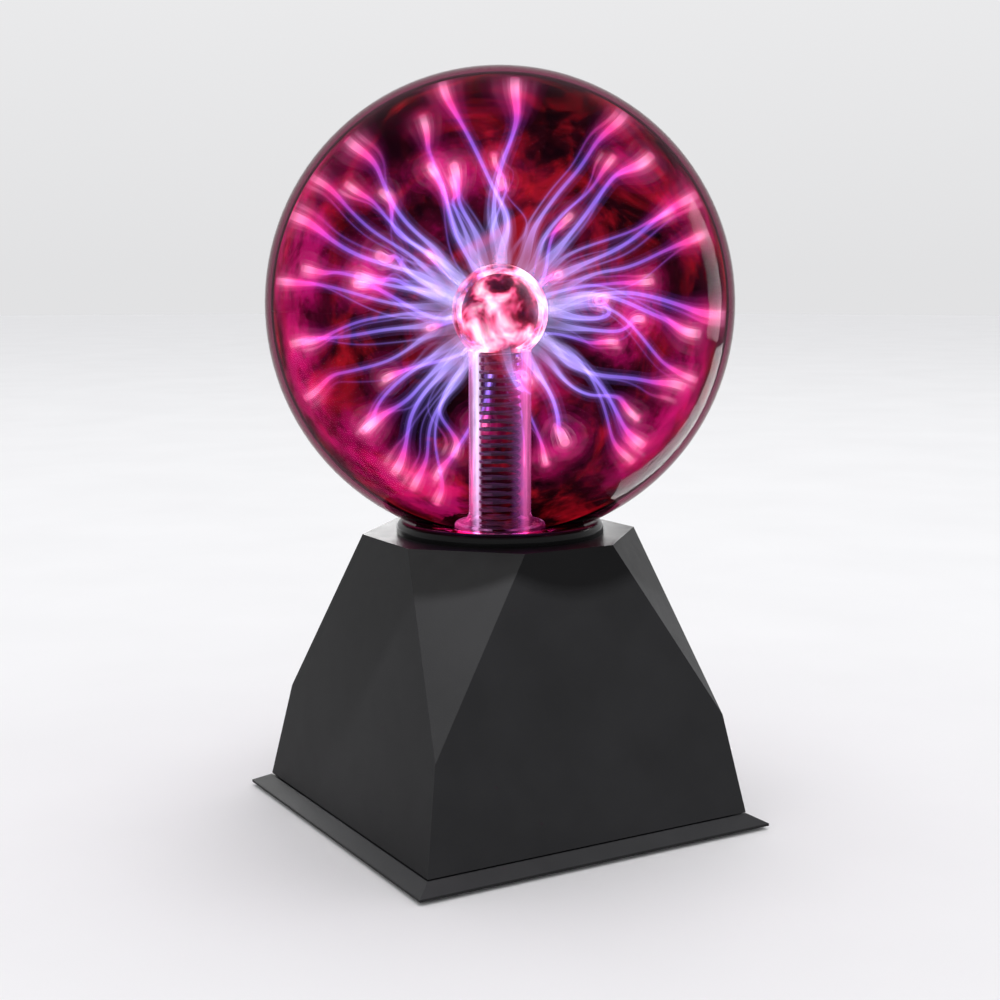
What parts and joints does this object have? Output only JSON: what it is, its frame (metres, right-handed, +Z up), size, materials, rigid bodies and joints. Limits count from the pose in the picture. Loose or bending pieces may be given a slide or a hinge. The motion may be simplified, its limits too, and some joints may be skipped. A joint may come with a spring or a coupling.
{
  "type": "plasma globe",
  "caption": "Plasma globe: a glass ball around a centre electrode, in a collar on a faceted four-sided base with a rocker switch and power inlet at the back.",
  "frame": {"origin": "centre of the footprint, on the surface that the rubber feet stand on", "axes": "+Z up through the globe's centre, -Y out of the wide front face, +Y out of the rear face that holds the power inlet and the rocker switch"},
  "size_m": [0.15, 0.15, 0.2426],
  "materials": {
    "housing_black": "satin moulded black",
    "collar_black": "gloss moulded black",
    "rubber": "matt",
    "globe_glass": "clear blown glass",
    "electrode_glass": "clear glass, glowing pink",
    "electrode_wool": "packed steel wool",
    "spring_steel": "drawn wire",
    "screw_steel": "zinc plated",
    "brass": "plain brass",
    "copper": "copper alloy",
    "white_plastic": "natural moulded",
    "black_plastic": "fine texture",
    "silicone": "translucent white silicone",
    "board_green": "solder mask",
    "ferrite": "sintered",
    "winding_tape": "amber tape",
    "aluminium": "extruded",
    "can_sleeve": "shrink sleeve",
    "film_red": "dipped",
    "resistor_tan": "lacquered",
    "lead_red": "insulated wire",
    "plasma_gas": "dark gas, glowing magenta at the glass",
    "plasma_streamer": "glowing discharge",
    "mark_white": "pad printed"
  },
  "bodies": {
    "base": {"base_plate": "housing_black", "rubber_feet": "rubber", "base_screws": "screw_steel", "base_housing": "housing_black", "globe_collar": "collar_black", "globe_gasket": "rubber", "glass_globe": "globe_glass", "electrode_glass": "electrode_glass", "electrode_wool": "electrode_wool", "electrode_spring": "spring_steel", "hv_terminal": "brass", "neck_plug": "white_plastic", "neck_seal": "silicone", "globe_holder": "white_plastic", "holder_screws": "screw_steel", "hv_lead": "lead_red", "circuit_board": "board_green", "board_screws": "screw_steel", "transformer_core": "ferrite", "transformer_bobbin": "black_plastic", "transformer_winding": "winding_tape", "heatsink": "aluminium", "power_transistor": "black_plastic", "transistor_screw": "screw_steel", "timer_chip": "black_plastic", "electrolytic_capacitors": "can_sleeve", "film_capacitor": "film_red", "resistors": "resistor_tan", "supply_header": "white_plastic", "dc_jack_shell": "black_plastic", "dc_jack_pin": "screw_steel", "dc_jack_nut": "screw_steel", "dc_jack_lugs": "brass", "switch_frame": "black_plastic", "common_terminal": "brass", "load_terminal": "brass", "supply_leads": "lead_red"},
    "rocker": {"rocker": "black_plastic", "rocker_plunger": "white_plastic", "rocker_spring": "spring_steel"},
    "seesaw": {"seesaw_contact": "copper"}
  },
  "joints": [
    {"name": "rocker_tilt", "type": "hinge", "parent": "base", "child": "rocker", "pos_m": [0.02, 0.05504, 0.02604], "axis": [1, 0, 0], "range_deg": [-20, 0]},
    {"name": "seesaw_tilt", "type": "hinge", "parent": "base", "child": "seesaw", "pos_m": [0.02, 0.04643, 0.02448], "axis": [1, 0, 0], "range_deg": [0, 16]}
  ],
  "couplings": [
    {"joint": "seesaw_tilt", "follows": "rocker_tilt", "ratio": -0.8}
  ]
}
